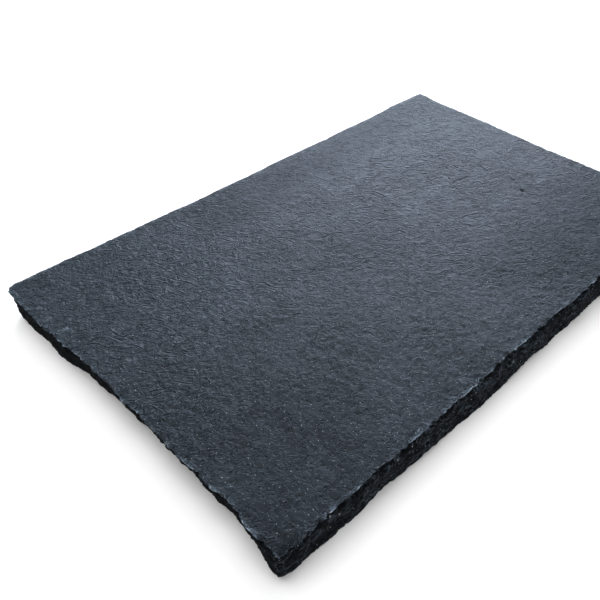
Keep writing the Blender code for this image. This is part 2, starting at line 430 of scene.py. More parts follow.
def inside(number):
    """Whether a face belongs to a region."""
    settings = {"data_type": "INT", "operation": "EQUAL"}
    return add_node(relief, "FunctionNodeCompare", {2: region_at, 3: number}, **settings).outputs[0]


def share_of(number):
    """How much of a point's surroundings lies in a region, from 0 to 1."""
    settings = {"data_type": "FLOAT", "domain": "FACE"}
    return add_node(relief, "GeometryNodeFieldOnDomain", {0: inside(number)}, **settings).outputs[0]


def nearest_rim(number):
    """The nearest place on the rim of a region, and the distance to it."""
    rim = add_node(relief, "GeometryNodeMeshFaceSetBoundaries", {0: inside(number)}).outputs[0]
    inputs = {"Geometry": given["Geometry"], "Selection": rim}
    lines = add_node(relief, "GeometryNodeSeparateGeometry", inputs, domain="EDGE").outputs["Selection"]
    return add_node(relief, "GeometryNodeProximity", {0: lines}, target_element="EDGES").outputs[:2]


on_top = m.do("MULTIPLY", share_of(TOP), 2.0, clamp=True)
on_edge = share_of(EDGE)
on_bed = share_of(BED)
arris_place, from_arris = nearest_rim(TOP)
from_foot = nearest_rim(BED)[1]
print("nodes for regions and distances:", len(relief.nodes))

# %% [markdown]
# ## Curls, rows and steps
# Wrinkles on a split face curl, and still run mostly one way. A noise alone gives round lumps with no
# direction, and a Wave texture gives rows that are far too even. Three small changes to the noise do it:
# a slow noise leads the place astray before the pattern is read there, which makes curls. Turning and
# squeezing the place makes rows. Cutting an even rise into whole steps makes the edges of the laminae.

# %% curls, rows and steps
WARP_SPACING, WARP_REACH = 19.0 * MM, 7.0 * MM
ROW_TURN = math.radians(43)
ROW_STRETCH = (0.7, 1.25, 1)
MIDDLE_GREY = (0.5, 0.5, 0.5)


def at_scale(maths, position, spacing, stretch=(1, 1, 1)):
    """The position counted in spacings of a pattern, with the pattern squeezed by stretch."""
    return maths.scaled(maths.vector("MULTIPLY", position, stretch), maths.div(1.0, spacing))


def warped(maths, position, spacing, reach):
    """A position led astray by a slow noise, so that a pattern read there curls."""
    stray = maths.noise(at_scale(maths, position, spacing), output="Color", detail=1.0)
    return maths.vector("ADD", position, maths.scaled(maths.vector("SUBTRACT", stray, MIDDLE_GREY), reach))


def in_rows(maths, position, stretch):
    """The position turned and squeezed, so that a pattern read there runs in rows across the tile."""
    inputs = {"Vector": position, "Angle": ROW_TURN}
    turned = add_node(maths.tree, "ShaderNodeVectorRotate", inputs, rotation_type="Z_AXIS").outputs[0]
    return maths.vector("MULTIPLY", turned, stretch)


def in_steps(value, start, end=1.0):
    """Turns an even rise into whole steps, each of which rises smoothly between two shares of the way."""
    return m.add(m.do("FLOOR", value), m.ramp(m.do("FRACT", value), start, end))


curled = warped(m, place, WARP_SPACING, WARP_REACH)
rows = in_rows(m, curled, ROW_STRETCH)
print("rows run at degrees:", round(math.degrees(ROW_TURN)), "and curl every millimetres:", WARP_SPACING / MM)

# %% [markdown]
# ## Calm and rough places
# The layer did not split with the same force everywhere. The far corner and the back rim are calmer,
# and the left corner is rougher. A mask painted by hand would tie this to one mesh. Here a direction
# across the tile, measured in millimetres and eased into a share from 0 to 1, needs two numbers a
# place, and the material can ask the same question again.

# %% calm and rough places
TO_FAR_CORNER, TO_LEFT_CORNER = (1, 1, 0), (-1, 1, 0)
CALM_ALONG = (150.0 * MM, 420.0 * MM)
CALM_BACK = (90.0 * MM, 150.0 * MM)
CALM_FROM = (-220.0 * MM, -80.0 * MM)
CALMEST = 0.65
ROUGH_ALONG = (120.0 * MM, 420.0 * MM)
ROUGHEST = 2.5


def calm_at(maths, position):
    """How calmly the layer split, from 0 over most of the face to 1 at the far corner and the back rim."""
    along = maths.dot(position, TO_FAR_CORNER)
    x, y, _ = maths.parts(position)
    back = maths.mul(maths.ramp(y, *CALM_BACK), maths.ramp(x, *CALM_FROM))
    return maths.most(maths.ramp(along, *CALM_ALONG), back)


rough_corner = m.ramp(m.dot(place, TO_LEFT_CORNER), *ROUGH_ALONG, 1.0, ROUGHEST)
liveliness = m.mul(rough_corner, m.fall(calm_at(m, place), 0.0, 1.0, CALMEST))
print("relief from", CALMEST, "to", ROUGHEST, "times its height")

# %% [markdown]
# ## The riven face
# Five kinds of relief lie on one another, as on the stone: wrinkles and fine grain in rows, single
# sharper folds in patches, little hollows where grains came out, and the low steps of the laminae. One
# rich noise with many octaves would be quicker, but everything in it would look alike. A mean is taken
# off wrinkles, folds and steps, so that the face stays close to the solid's height.

# %% wrinkles, grain and folds
WRINKLE_SHARPNESS, WRINKLE_MEAN = 1.6, 0.6
FOLD_SHIFT = (5.0, 0.0, 0.0)
FOLD_SHARPNESS, FOLD_MEAN = 6.0, 0.3
FOLD_PATCHES = (0.45, 0.62)

wrinkle = m.power(m.ridge(m.noise(at_scale(m, rows, given["Wrinkle spacing"]))), WRINKLE_SHARPNESS)
grain = m.noise(at_scale(m, rows, given["Grain spacing"]), detail=1.0)
fold_place = m.vector("ADD", at_scale(m, rows, given["Fold spacing"]), FOLD_SHIFT)
fold_line = m.power(m.ridge(m.noise(fold_place, detail=1.0)), FOLD_SHARPNESS)
fold_rise = m.mul(fold_line, m.ramp(m.noise(fold_place), *FOLD_PATCHES))
print("nodes with wrinkles, grain and folds:", len(relief.nodes))

# %% hollows and laminae
HOLLOW_RIM = (0.12, 0.42)
HOLLOW_CHANCE = (0.45, 0.8)
LAMINA_STRETCH = (0.7, 1.2, 1)
LAMINAE = 9.0
LAMINA_EDGE = (0.42, 0.58)

hollow_place = at_scale(m, curled, given["Hollow spacing"])
hollow_chance = m.parts(m.cells(hollow_place, "Color"))[0]
hollow = m.mul(m.fall(m.cells(hollow_place), *HOLLOW_RIM), m.ramp(hollow_chance, *HOLLOW_CHANCE))
lamina_place = at_scale(m, place, given["Lamina spacing"], LAMINA_STRETCH)
lamina = in_steps(m.mul(m.noise(lamina_place), LAMINAE), *LAMINA_EDGE)
rise = m.add(
    m.mul(m.sub(wrinkle, WRINKLE_MEAN), given["Wrinkle height"], liveliness),
    m.mul(grain, given["Grain height"], liveliness),
    m.mul(m.sub(fold_rise, FOLD_MEAN), given["Fold height"], liveliness),
    m.mul(m.sub(lamina, LAMINAE / 2), given["Lamina step"]),
    m.mul(hollow, given["Hollow depth"], -1.0),
)
print("nodes with the whole riven face:", len(relief.nodes))

# %% [markdown]
# ## Single marks in the face
# Some marks stand alone: two pin-prick pits and two hair cracks near the right side, and two dents in
# the rim. A pattern can't be told to put a mark in one place, and a Boolean cut would spoil the even mesh.
# So each mark is a distance, to a point or to a line that wavers, eased into a depth. The material asks
# the same helpers where to paint shade in the bottoms of the pits and cracks.

# %% places, pits and dents
FLAT = (1, 1, 0)
PIT_FLOOR = 0.3


def point(x, y, z=0.0):
    """A place on the tile, given in millimetres."""
    return Vector((x, y, z)) * MM


def nearness(maths, position, centre, near, far):
    """1 close to a place, easing to 0 from the near distance to the far one."""
    return maths.fall(maths.distance(position, tuple(centre)), near, far)


def pit_at(maths, position, centre, radius):
    """How deep a place on the face lies in a round pit, from 0 at its rim to 1."""
    return nearness(maths, maths.vector("MULTIPLY", position, FLAT), centre, PIT_FLOOR * radius, radius)


PITS = ((point(200.9, -47.6), 2.7 * MM), (point(210.8, -26.7), 1.6 * MM))
PIT_DEPTH = 3.5 * MM
DENTS = ((point(-290.0, 101.0), 9.0 * MM), (point(-70.0, -187.0), 7.0 * MM))
DENT_DEPTH = 1.6 * MM
DENT_SPACING = 6.0 * MM
DENT_PATCHES = (0.3, 0.6)

pits = m.most(*(pit_at(m, place, *mark) for mark in PITS))
dent_noise = m.ramp(m.noise(at_scale(m, place, DENT_SPACING)), *DENT_PATCHES)
dents = m.mul(m.most(*(pit_at(m, place, *mark) for mark in DENTS)), dent_noise)
print("pits:", len(PITS), "dents:", len(DENTS))

# %% hair cracks
CRACKS = ((point(148.0, 16.5), point(180.0, 13.5), 1.0), (point(218.0, -31.0), point(259.0, -43.0), 0.4))
CRACK_DEPTH = 0.6 * MM
CRACK_WIDTH = 2.0 * MM
CRACK_FLOOR = 0.2
CRACK_FADE = 6.0 * MM
WAVER_SPACING, WAVER_REACH = 14.0 * MM, 6.0 * MM


def crack_along(maths, position, width, start, end, strength):
    """How deep a place lies in a wavering hair crack from one point to another, from 0 to its strength."""
    length = (end - start).length
    along = (end - start) / length
    aside = (-along.y, along.x, 0)
    flat = maths.vector("MULTIPLY", position, FLAT)
    offset = maths.vector("SUBTRACT", flat, tuple(start))
    run = maths.dot(offset, tuple(along))
    waver = maths.mul(maths.sub(maths.noise(at_scale(maths, flat, WAVER_SPACING)), 0.5), WAVER_REACH)
    off = maths.do("ABSOLUTE", maths.add(maths.dot(offset, aside), waver))
    ends = maths.mul(maths.ramp(run, 0.0, CRACK_FADE), maths.fall(run, length - CRACK_FADE, length))
    return maths.mul(maths.fall(off, CRACK_FLOOR * width, width), ends, strength)


cracks = m.most(*(crack_along(m, place, CRACK_WIDTH, *mark) for mark in CRACKS))
rise = m.sub(rise, m.weighed((pits, PIT_DEPTH), (cracks, CRACK_DEPTH), (dents, DENT_DEPTH)))
print("cracks in millimetres:", [round((end - start).length / MM, 1) for start, end, _ in CRACKS])

# %% [markdown]
# ## Chips along the arris
# The chisel leaves the arris battered: shallow chips on the face side, jags that step in and out, and
# small round nicks. They are strongest along the left and front sides. A Bevel would only round the
# arris evenly. Here the distance to the arris fades each pattern out within a few millimetres. Chips
# push a point down and inwards, and jags and nicks push it inwards alone.

# %% how battered the rim is
RIM_SIDES = (0.04, 0.20)
SIDES_LEAST = 0.2
BACK_RIM = (0.93, 0.99)
BACK_LEAST = 0.3

from_lowest = m.vector("SUBTRACT", place, given["Lowest corner"])
box_size = m.vector("SUBTRACT", given["Highest corner"], given["Lowest corner"])
share_x, share_y, _ = m.parts(m.vector("DIVIDE", from_lowest, box_size))
front_or_left = m.fall(m.do("MINIMUM", share_x, share_y), *RIM_SIDES, SIDES_LEAST)
battered = m.mul(front_or_left, m.fall(share_y, *BACK_RIM, BACK_LEAST))
near_arris = m.do("SUBTRACT", 1.0, m.div(from_arris, given["Chip reach"]), clamp=True)
print("battered from", round(SIDES_LEAST * BACK_LEAST, 2), "to 1")

# %% chips, jags and nicks
CHIP_STRETCH = (1, 1, 1.5)
CHIP_SHARE = (0.50, 0.60)
JAG_LEVELS = 5.0
JAG_START = 0.5
JAG_MEAN = 0.3 * JAG_LEVELS
NICK_RIM = (0.12, 0.40)

chip_noise = m.noise(at_scale(m, place, given["Chip spacing"], CHIP_STRETCH), detail=2.5, roughness=0.6)
chipped = m.mul(m.ramp(chip_noise, *CHIP_SHARE), near_arris, battered)
chip_drop = m.mul(chipped, given["Chip depth"])
jag_noise = m.noise(at_scale(m, place, given["Jag spacing"]), detail=1.5)
jag_level = in_steps(m.mul(jag_noise, JAG_LEVELS), JAG_START)
nick = m.fall(m.cells(at_scale(m, place, given["Nick spacing"])), *NICK_RIM)
bites = m.weighed((m.sub(jag_level, JAG_MEAN), given["Jag depth"]), (nick, given["Nick depth"]))
jag = m.mul(bites, near_arris, battered)
print("nodes with chips, jags and nicks:", len(relief.nodes))

# %% [markdown]
# ## A lip and a shelf
# Two larger forms break the straight run of the arris. Near the left corner a lip stands out by a few
# millimetres, and at the front left corner a flake came off and left a narrow shelf. Both could be
# moved by hand in Edit Mode. A distance to one place, eased to nothing, moves the points as softly and
# still fits when the mesh is divided in another way.

# %% the lip and the shelf
LIP_AT = point(-303.0, 150.0, 30.5)
LIP_REACH = (24.0 * MM, 46.0 * MM)
LIP_OUT = 3.8 * MM
SHELF_AT = point(-295.0, -193.0, 30.5)
SHELF_REACH = 17.0 * MM
SHELF_SOLID = 0.7
SHELF_WIDTH = (3.4 * MM, 4.6 * MM)
SHELF_DROP = 3.0 * MM

lip = nearness(m, place, LIP_AT, *LIP_REACH)
jag = m.sub(jag, m.mul(lip, near_arris, LIP_OUT))
at_corner = nearness(m, place, SHELF_AT, SHELF_SOLID * SHELF_REACH, SHELF_REACH)
shelf = m.mul(at_corner, m.fall(from_arris, *SHELF_WIDTH))
print("lip out and shelf down in millimetres:", round(LIP_OUT / MM, 1), round(SHELF_DROP / MM, 1))

# %% [markdown]
# ## The broken edges
# The edges show the bedding: ledges that stand in and out, crumbled grains, and the scooped scars of
# single blows. Just under the arris the stone is undercut, and on the left side a belly stands out below
# it. Stacked slabs would show their seams. So three textures, one of them squeezed to flat layers, are
# added up and push the edge out or in. They fade towards the arris, and the foot stays more even, so
# that the tile still lies on its bed.

# %% ledges, crumble and scars
LEDGE_STRETCH = (1, 1, 6)
CRUMBLE_STRETCH = (1, 1, 1.6)
CRUMBLE_SHARE = (0.32, 0.68)
SCAR_STRETCH = (1, 1, 1.3)
ARRIS_FADE = 3.0 * MM
FOOT_EVEN = 9.0 * MM
FOOT_SHARE = 0.6

ledge = m.noise(at_scale(m, place, given["Ledge spacing"], LEDGE_STRETCH), detail=3.0, roughness=0.6)
crumble = m.ramp(m.noise(at_scale(m, place, given["Crumble spacing"], CRUMBLE_STRETCH)), *CRUMBLE_SHARE)
scar = m.cells(at_scale(m, curled, given["Scar spacing"], SCAR_STRETCH))
broken = m.weighed(
    (m.sub(ledge, 0.5), given["Ledge depth"]),
    (m.sub(crumble, 0.5), given["Crumble depth"]),
    (m.sub(scar, 0.5), given["Scar depth"]),
)
even_foot = m.ramp(from_foot, 0.0, FOOT_EVEN, FOOT_SHARE, 1.0)
set_out = m.mul(broken, m.ramp(from_arris, 0.0, ARRIS_FADE), even_foot)
print("nodes with the broken edges:", len(relief.nodes))

# %% the undercut and the belly
OVERHANG_OPENS = (0.3 * MM, 1.8 * MM)
OVERHANG_CLOSES = (3.5 * MM, 7.0 * MM)
OVERHANG_SPACING = 20.0 * MM
OVERHANG_PATCHES = (0.25, 0.50)
LEFT_SIDE = (0.03, 0.06)
BELLY_BEGINS = (0.04, 0.12)
BELLY_ENDS = (0.55, 0.75)
BELLY_SPACING = 17.0 * MM
BELLY_SHIFT = (0, 3.0, 0)
BELLY_PATCHES = (0.36, 0.56)
BELLY_OPENS = (0.2 * MM, 2.2 * MM)
BELLY_REACH = 1.5 * MM

on_left = m.mul(m.fall(share_x, *LEFT_SIDE), m.ramp(share_y, *BELLY_BEGINS), m.fall(share_y, *BELLY_ENDS))
belly_place = m.vector("ADD", at_scale(m, place, BELLY_SPACING), BELLY_SHIFT)
belly = m.mul(m.ramp(m.noise(belly_place), *BELLY_PATCHES), m.ramp(from_arris, *BELLY_OPENS), on_left)
overhang = m.mul(m.ramp(from_arris, *OVERHANG_OPENS), m.fall(from_arris, *OVERHANG_CLOSES))
overhang_patches = m.ramp(m.noise(at_scale(m, place, OVERHANG_SPACING)), *OVERHANG_PATCHES)
overhang = m.mul(overhang, given["Overhang depth"], overhang_patches, m.sub(on_left, 1.0))
set_out = m.add(set_out, m.mul(m.add(chip_drop, jag), -1.0), overhang, m.mul(belly, BELLY_REACH))
print("nodes with the undercut and the belly:", len(relief.nodes))

# %% [markdown]
# ## The hollows of the bed
# The underside is flat enough to lie on, but a split stone is never a machined plane. A slow noise lifts
# it by less than a millimetre, and nowhere near the rim, so that no gap opens where the edge meets the
# floor. A flat face would be simpler, and would look false from below.

# %% the bed's hollows
BED_HOLLOWS = (0.42, 0.8)
RIM_STAYS = 12.0 * MM

bed_noise = m.noise(at_scale(m, place, given["Bed hollow spacing"]), detail=3.0)
off_rim = m.ramp(from_foot, 0.0, RIM_STAYS)
bed_rise = m.mul(m.ramp(bed_noise, *BED_HOLLOWS), given["Bed hollow depth"], off_rim)
print("nodes with the bed:", len(relief.nodes))

# %% [markdown]
# ## Put the relief together
# The upper face and the bed move up or down, and the edges move sideways. Which way is outwards comes
# from the normal on the edges, and from the way to the nearest arris on the face, so that a chip draws
# both back together. One push along the normal would be shorter, but it would swing at the arris, where
# the normals of both sides mix. At the end each point is kept within the solid's box.

# %% move the points
NEVER_ZERO = 0.1 * MM
ALL_BED = (0.9, 1.0)

normal = add_node(relief, "GeometryNodeInputNormal").outputs[0]
nearer = m.div(on_top, m.add(from_arris, NEVER_ZERO))
to_arris = m.scaled(m.vector("SUBTRACT", arris_place, place), nearer)
outward = m.vector("NORMALIZE", m.vector("MULTIPLY", m.vector("ADD", normal, to_arris), FLAT))
side_share = m.do("MULTIPLY", on_edge, 2.0, clamp=True)
pushed = m.add(m.mul(set_out, side_share), m.mul(m.add(chip_drop, jag), m.sub(side_share, 1.0)))
face_lift = m.mul(m.sub(rise, m.add(chip_drop, m.mul(shelf, SHELF_DROP))), on_top)
lift = m.add(face_lift, m.mul(bed_rise, m.ramp(on_bed, *ALL_BED)))
upwards = add_node(relief, "ShaderNodeCombineXYZ", {"Z": lift}).outputs[0]
moved = m.vector("ADD", m.vector("ADD", place, m.scaled(outward, pushed)), upwards)
kept_in = m.vector("MAXIMUM", m.vector("MINIMUM", moved, given["Highest corner"]), given["Lowest corner"])
print("nodes that move the points:", len(relief.nodes))

# %% [markdown]
# ## The tree's end
# The material needs to know three things about each point: how much it is edge, how fresh its break is,
# and how far the arris is. They are stored as attributes before the points move. Painting a second mask
# in the material would drift away from the shape. Realize Instances and Set Material come last, so that
# the result is real faces with their finish on.

# %% store, move and finish
SHELF_FRESH, DENT_FRESH = 0.6, 0.7

fresh_break = m.most(chipped, m.mul(shelf, SHELF_FRESH), m.mul(dents, DENT_FRESH))
stored_values = {"on_edge": on_edge, "chipped": fresh_break, "from_arris": from_arris}
so_far = given["Geometry"]
for name, value in stored_values.items():
    inputs = {"Geometry": so_far, "Name": name, "Value": value}
    stored = add_node(relief, "GeometryNodeStoreNamedAttribute", inputs, data_type="FLOAT", domain="POINT")
    so_far = stored.outputs[0]
shaped = add_node(relief, "GeometryNodeSetPosition", {"Geometry": so_far, "Position": kept_in}).outputs[0]
real = add_node(relief, "GeometryNodeRealizeInstances", {0: shaped}).outputs[0]
dressed = {"Geometry": real, "Material": given["Material"]}
finished = add_node(relief, "GeometryNodeSetMaterial", dressed).outputs[0]
add_node(relief, "NodeGroupOutput", {"Geometry": finished})
print("nodes in the relief tree:", len(relief.nodes), "stored:", ", ".join(stored_values))

# %% [markdown]
# ## The stone's material
# Black limestone is a very dark blue grey. Its face scatters little light, but it shines softly where it
# is seen at a low angle, so the far end of the tile looks paler than the near end. The crests of the
# wrinkles are painted paler as a highlight, grooves and pits are painted darker as shade, and specks of
# calcite glint all over. The broken edges are nearly black. A painted texture would stretch over the
# edges; textures read in the object's own coordinates run through the stone as the real grain does.

# %% start the material
# The crest colour is a painted highlight, and the crease colour is painted shade in grooves, pits and cracks.
FACE_DARK = (0.0056, 0.0068, 0.0083, 1)
FACE_MID = (0.0260, 0.0318, 0.0381, 1)
CREST_HIGHLIGHT = (0.0690, 0.0840, 0.1000, 1)
PAINTED_SHADE = (0.0018, 0.0023, 0.0028, 1)
EDGE_DARK = (0.0022, 0.0026, 0.0033, 1)
EDGE_PALE = (0.0310, 0.0385, 0.0480, 1)
# The chip colour is the paler colour of fresh breaks, and it also paints highlights near the arris and glints
# on the edges. The calcite white also paints glints on the arris.
BREAK_AND_HIGHLIGHT_PALE = (0.1060, 0.1300, 0.1540, 1)
CALCITE_AND_GLINT = (0.4500, 0.4800, 0.5000, 1)
RUST = (0.1600, 0.0450, 0.0140, 1)

material = bpy.data.materials.new("black_limestone")
material.use_nodes = True
tree = material.node_tree
tree.nodes.clear()
s = Maths(tree)
here = add_node(tree, "ShaderNodeTexCoord").outputs["Object"]


def attribute(name):
    """A number that the relief tree stored on the mesh."""
    return add_node(tree, "ShaderNodeAttribute", attribute_name=name).outputs["Fac"]


def mixed(share, low, high):
    """The colour at a share of the way from one colour to another."""
    return add_node(tree, "ShaderNodeMix", {0: share, 6: low, 7: high}, data_type="RGBA").outputs[2]


print("palest calcite to darkest crease:", round(CALCITE_AND_GLINT[1] / PAINTED_SHADE[1]), "to 1")

# %% [markdown]
# ## Where the finish differs
# No two hands' breadths of the face are quite alike. Folds grow coarser towards the far corner, the left
# corner is rougher, the front right is dull, and there is a paler and a darker patch. A single
# large noise would put such places anywhere. Each one here has its place and reach in millimetres, so
# that it can be moved or taken out without touching the rest.

# %% places on the face
COARSER_ALONG = (-320.0 * MM, 120.0 * MM)
ROUGHER_ALONG = (80.0 * MM, 360.0 * MM)
PALER_AT, PALER_REACH = point(-215.0, 100.0, 30.0), (40.0 * MM, 140.0 * MM)
DARKER_AT, DARKER_REACH = point(-247.0, -131.0, 30.0), (40.0 * MM, 130.0 * MM)
DULL_X, DULL_Y = (20.0 * MM, 150.0 * MM), (-150.0 * MM, -30.0 * MM)

here_x, here_y, _ = s.parts(here)
coarser = s.ramp(s.dot(here, TO_FAR_CORNER), *COARSER_ALONG)
rougher = s.ramp(s.dot(here, TO_LEFT_CORNER), *ROUGHER_ALONG)
calm = calm_at(s, here)
paler = nearness(s, here, PALER_AT, *PALER_REACH)
darker = nearness(s, here, DARKER_AT, *DARKER_REACH)
dull = s.mul(s.ramp(here_x, *DULL_X), s.fall(here_y, *DULL_Y))
print("nodes for the places:", len(tree.nodes))

# %% [markdown]
# ## Fine folds
# The finest wrinkles are half a millimetre wide, far too fine for the mesh, so the material's bump makes
# them. A fold follows the line where a noise crosses its middle. Drawn straight from the noise, such a
# line is thin where the noise is steep and wide where it is flat. Dividing by the slope, which is told
# from two neighbours a small step away, gives every fold the same width, as on the stone.

# %% folds of even width
SLOPE_STEP = 0.25 * MM
STEPS = ((0, 0, 0), (SLOPE_STEP, 0, 0), (0, SLOPE_STEP, 0))
LEAST_SLOPE = 0.0005
STEEP_ENOUGH = (0.35, 0.9)
PATCH_SPACING = 1.15
PATCHES = (0.36, 0.50)
GROOVE_BESIDE = 1.1
FOLD_STRETCH = (0.6, 1.25, 1)


def folds(places, spacing, seed, width):
    """Short curling folds: how much of a point lies on a crest, and how much in the groove beside it."""
    shifted = (s.vector("ADD", at_scale(s, spot, spacing), (seed, 0, 0)) for spot in places)
    noise_here, noise_x, noise_y = (s.noise(spot, detail=0.0) for spot in shifted)
    squares = (s.power(s.sub(beside, noise_here), 2.0) for beside in (noise_x, noise_y))
    slope = s.do("SQRT", s.add(*squares))
    off = s.mul(s.div(s.sub(noise_here, 0.5), s.add(slope, LEAST_SLOPE)), SLOPE_STEP)
    patch_place = s.vector("ADD", at_scale(s, here, PATCH_SPACING * spacing), (0, seed, 0))
    steep = s.ramp(s.mul(slope, spacing / SLOPE_STEP), *STEEP_ENOUGH)
    shown = s.mul(s.ramp(s.noise(patch_place), *PATCHES), steep)
    crest = s.fall(s.do("ABSOLUTE", off), 0.0, width)
    groove = s.fall(s.do("ABSOLUTE", s.add(off, s.mul(width, GROOVE_BESIDE))), 0.0, width)
    return s.mul(crest, shown), s.mul(groove, shown)


def curled_steps(spacing, reach):
    """A curled place and the two places a small step beside it, from which a slope can be told."""
    places = (warped(s, s.vector("ADD", here, step), spacing, reach) for step in STEPS)
    return [in_rows(s, spot, FOLD_STRETCH) for spot in places]


print("slope told over millimetres:", round(SLOPE_STEP / MM, 2))

# %% three sizes of folds
CURL = (9.0 * MM, 15.0 * MM)
WIDE_CURL = (24.0 * MM, 14.0 * MM)
FOLD_WIDTH = (0.5 * MM, 0.8 * MM)
SMALL_WIDTH = 0.5 * MM
WIDE_WIDTH = 1.4 * MM
SMALL_SHARE = (1.0, 0.3)

curls = curled_steps(*CURL)
fold, groove = folds(curls, spacing=7.0 * MM, seed=3.0, width=s.blend(coarser, *FOLD_WIDTH))
small_fold, small_groove = folds(curls, spacing=4.2 * MM, seed=11.0, width=SMALL_WIDTH)
wide_fold, wide_groove = folds(curled_steps(*WIDE_CURL), spacing=10.0 * MM, seed=7.0, width=WIDE_WIDTH)
crests = s.most(fold, s.mul(small_fold, s.blend(coarser, *SMALL_SHARE)))
grooves = s.most(groove, s.mul(small_groove, s.blend(coarser, *SMALL_SHARE)))
print("nodes with the folds:", len(tree.nodes))

# %% [markdown]
# ## Scales, grain and pits
# Between the folds the face is scaly, with a fine grain and pin-prick pits. Two more noises and a Voronoi
# texture make them, each at its own size, and all are added up in millimetres for the bump. A third,
# slower noise is kept for patches of colour. The weights change with the place: more at the rough
# corner, less where the layer split calmly. Displacing a finer mesh would need many millions of faces.

# %% scales, grain and pits
SCALE_SPACING = 5.6 * MM
FINE_SPACING = 1.7 * MM
WIDE_SPACING = 14.0 * MM
PIT_SPACING = 3.6 * MM
PIT_RIM = (0.10, 0.34)
PIT_CHANCE = (0.60, 0.70)

curl = warped(s, here, *CURL)
scales = s.noise(at_scale(s, curl, SCALE_SPACING), detail=1.2, roughness=0.5)
fine = s.noise(at_scale(s, curl, FINE_SPACING), detail=1.5, roughness=0.6)
wide = s.noise(at_scale(s, here, WIDE_SPACING), detail=2.0)
pit_place = at_scale(s, here, PIT_SPACING)
pit_chance = s.parts(s.cells(pit_place, "Color"))[1]
pit = s.mul(s.fall(s.cells(pit_place), *PIT_RIM), s.ramp(pit_chance, *PIT_CHANCE))
spacings = (FINE_SPACING, PIT_SPACING, SCALE_SPACING, WIDE_SPACING)
print("spacings in millimetres:", [round(spacing / MM, 1) for spacing in spacings])

# %% the face's height for the bump
WIDE_CREST, WIDE_GROOVE, WIDE_ROUGH = 0.6, 0.8, (1.0, 1.7)
SCALES_FAR, SCALES_ROUGH = (1.25, 0.9), (1.0, 2.6)
CRESTS_ROUGH = (0.38, 0.50)
GROOVES_ROUGH = (-0.46, -1.05)
FINE_HEIGHT, PIT_HEIGHT = 0.14, -0.35
CALM_HEIGHT = (1.0, 0.45)
PATCH_HEIGHT = (1.0, 1.5)

wide_folds = s.sub(s.mul(wide_fold, WIDE_CREST), s.mul(wide_groove, WIDE_GROOVE))
face_height = s.add(
    s.mul(wide_folds, s.most(coarser, rougher), s.blend(rougher, *WIDE_ROUGH)),
    s.mul(scales, s.blend(coarser, *SCALES_FAR), s.blend(rougher, *SCALES_ROUGH)),
    s.mul(crests, s.blend(rougher, *CRESTS_ROUGH)),
    s.mul(grooves, s.blend(rougher, *GROOVES_ROUGH)),
    s.mul(fine, FINE_HEIGHT),
    s.mul(pit, PIT_HEIGHT),
)
dull_or_paler = s.most(dull, paler)
face_height = s.mul(face_height, s.blend(calm, *CALM_HEIGHT), s.blend(dull_or_paler, *PATCH_HEIGHT))
print("nodes with the face's height:", len(tree.nodes))

# %% [markdown]
# ## The height of the broken edges
# On the edges the bump carries on what the mesh began: thin layers, rubble between them and the facets
# of small breaks. The layers are a noise squeezed eight times upwards, which keeps them broken and
# uneven. A Wave texture would rule them like a school book.

# %% layers, rubble and facets
LAYER_SPACING, LAYER_STRETCH = 16.0 * MM, (1, 1, 8)
RUBBLE_SPACING = 3.4 * MM
FACET_SPACING, FACET_STRETCH = 8.0 * MM, (1, 1, 1.4)
LAYER_HEIGHT, RUBBLE_HEIGHT, FACET_HEIGHT = 2.6, 0.8, 1.8

layer = s.noise(at_scale(s, here, LAYER_SPACING, LAYER_STRETCH), detail=4.0, roughness=0.65)
rubble = s.noise(at_scale(s, here, RUBBLE_SPACING), detail=3.0, roughness=0.6)
facets = s.cells(at_scale(s, curl, FACET_SPACING, FACET_STRETCH))
edge_height = s.weighed((layer, LAYER_HEIGHT), (rubble, RUBBLE_HEIGHT), (facets, FACET_HEIGHT))
print("nodes with the edges' height:", len(tree.nodes))

# %% [markdown]
# ## The colour of the face
# The tone wanders between two dark blue greys, with the mottle of the bed, the fine grain and the
# scales. Grooves and pits are painted darker as shade and crests paler as a highlight, so that the
# relief shows in flat light too. A ColorRamp could hold all these colours, but one mix for each cause
# can be read and changed on its own.

# %% the tone of the face
MOTTLE_SPACING = 38.0 * MM
GRAIN_SPACING = 1.4 * MM
TONE_RANGE = (0.45, 1.40)
GROOVE_SHADE_SHARE = (0.65, 0.95)
CREST_HIGHLIGHT_SHARE = (0.80, 0.48)
PIT_SHADE_SHARE = 0.9

mottle = s.noise(at_scale(s, here, MOTTLE_SPACING), detail=3.0)
grain_tone = s.noise(at_scale(s, here, GRAIN_SPACING), detail=1.0)
patches = ((paler, 0.60), (darker, -0.10), (mottle, 0.9))
tone = s.ramp(s.weighed(*patches, (grain_tone, 0.2), (fine, 0.2), (scales, 0.5)), *TONE_RANGE)
face_colour = mixed(tone, FACE_DARK, FACE_MID)
# Painted shade: grooves and small pits are mixed towards the dark crease colour. Painted highlight: fold
# crests are mixed towards the pale crest colour.
face_colour = mixed(s.mul(grooves, s.blend(paler, *GROOVE_SHADE_SHARE)), face_colour, PAINTED_SHADE)
face_colour = mixed(s.mul(crests, s.blend(darker, *CREST_HIGHLIGHT_SHARE)), face_colour, CREST_HIGHLIGHT)
face_colour = mixed(s.mul(pit, PIT_SHADE_SHARE), face_colour, PAINTED_SHADE)
print("nodes with the tone of the face:", len(tree.nodes))

# %% [markdown]
# ## Fresh breaks, painted highlights and painted shade in marks
# A fresh break is paler than the weathered face, so chips and the shelf are pale. A thin broken line on
# the arris and flecks near it are painted pale as highlights, with a few painted glints. The Pointiness
# of the mesh would find the arris too, but only in one renderer, and it would change with the mesh. The
# stored distance to the arris is the same everywhere. The single pits and cracks get painted shade in
# their bottoms last.

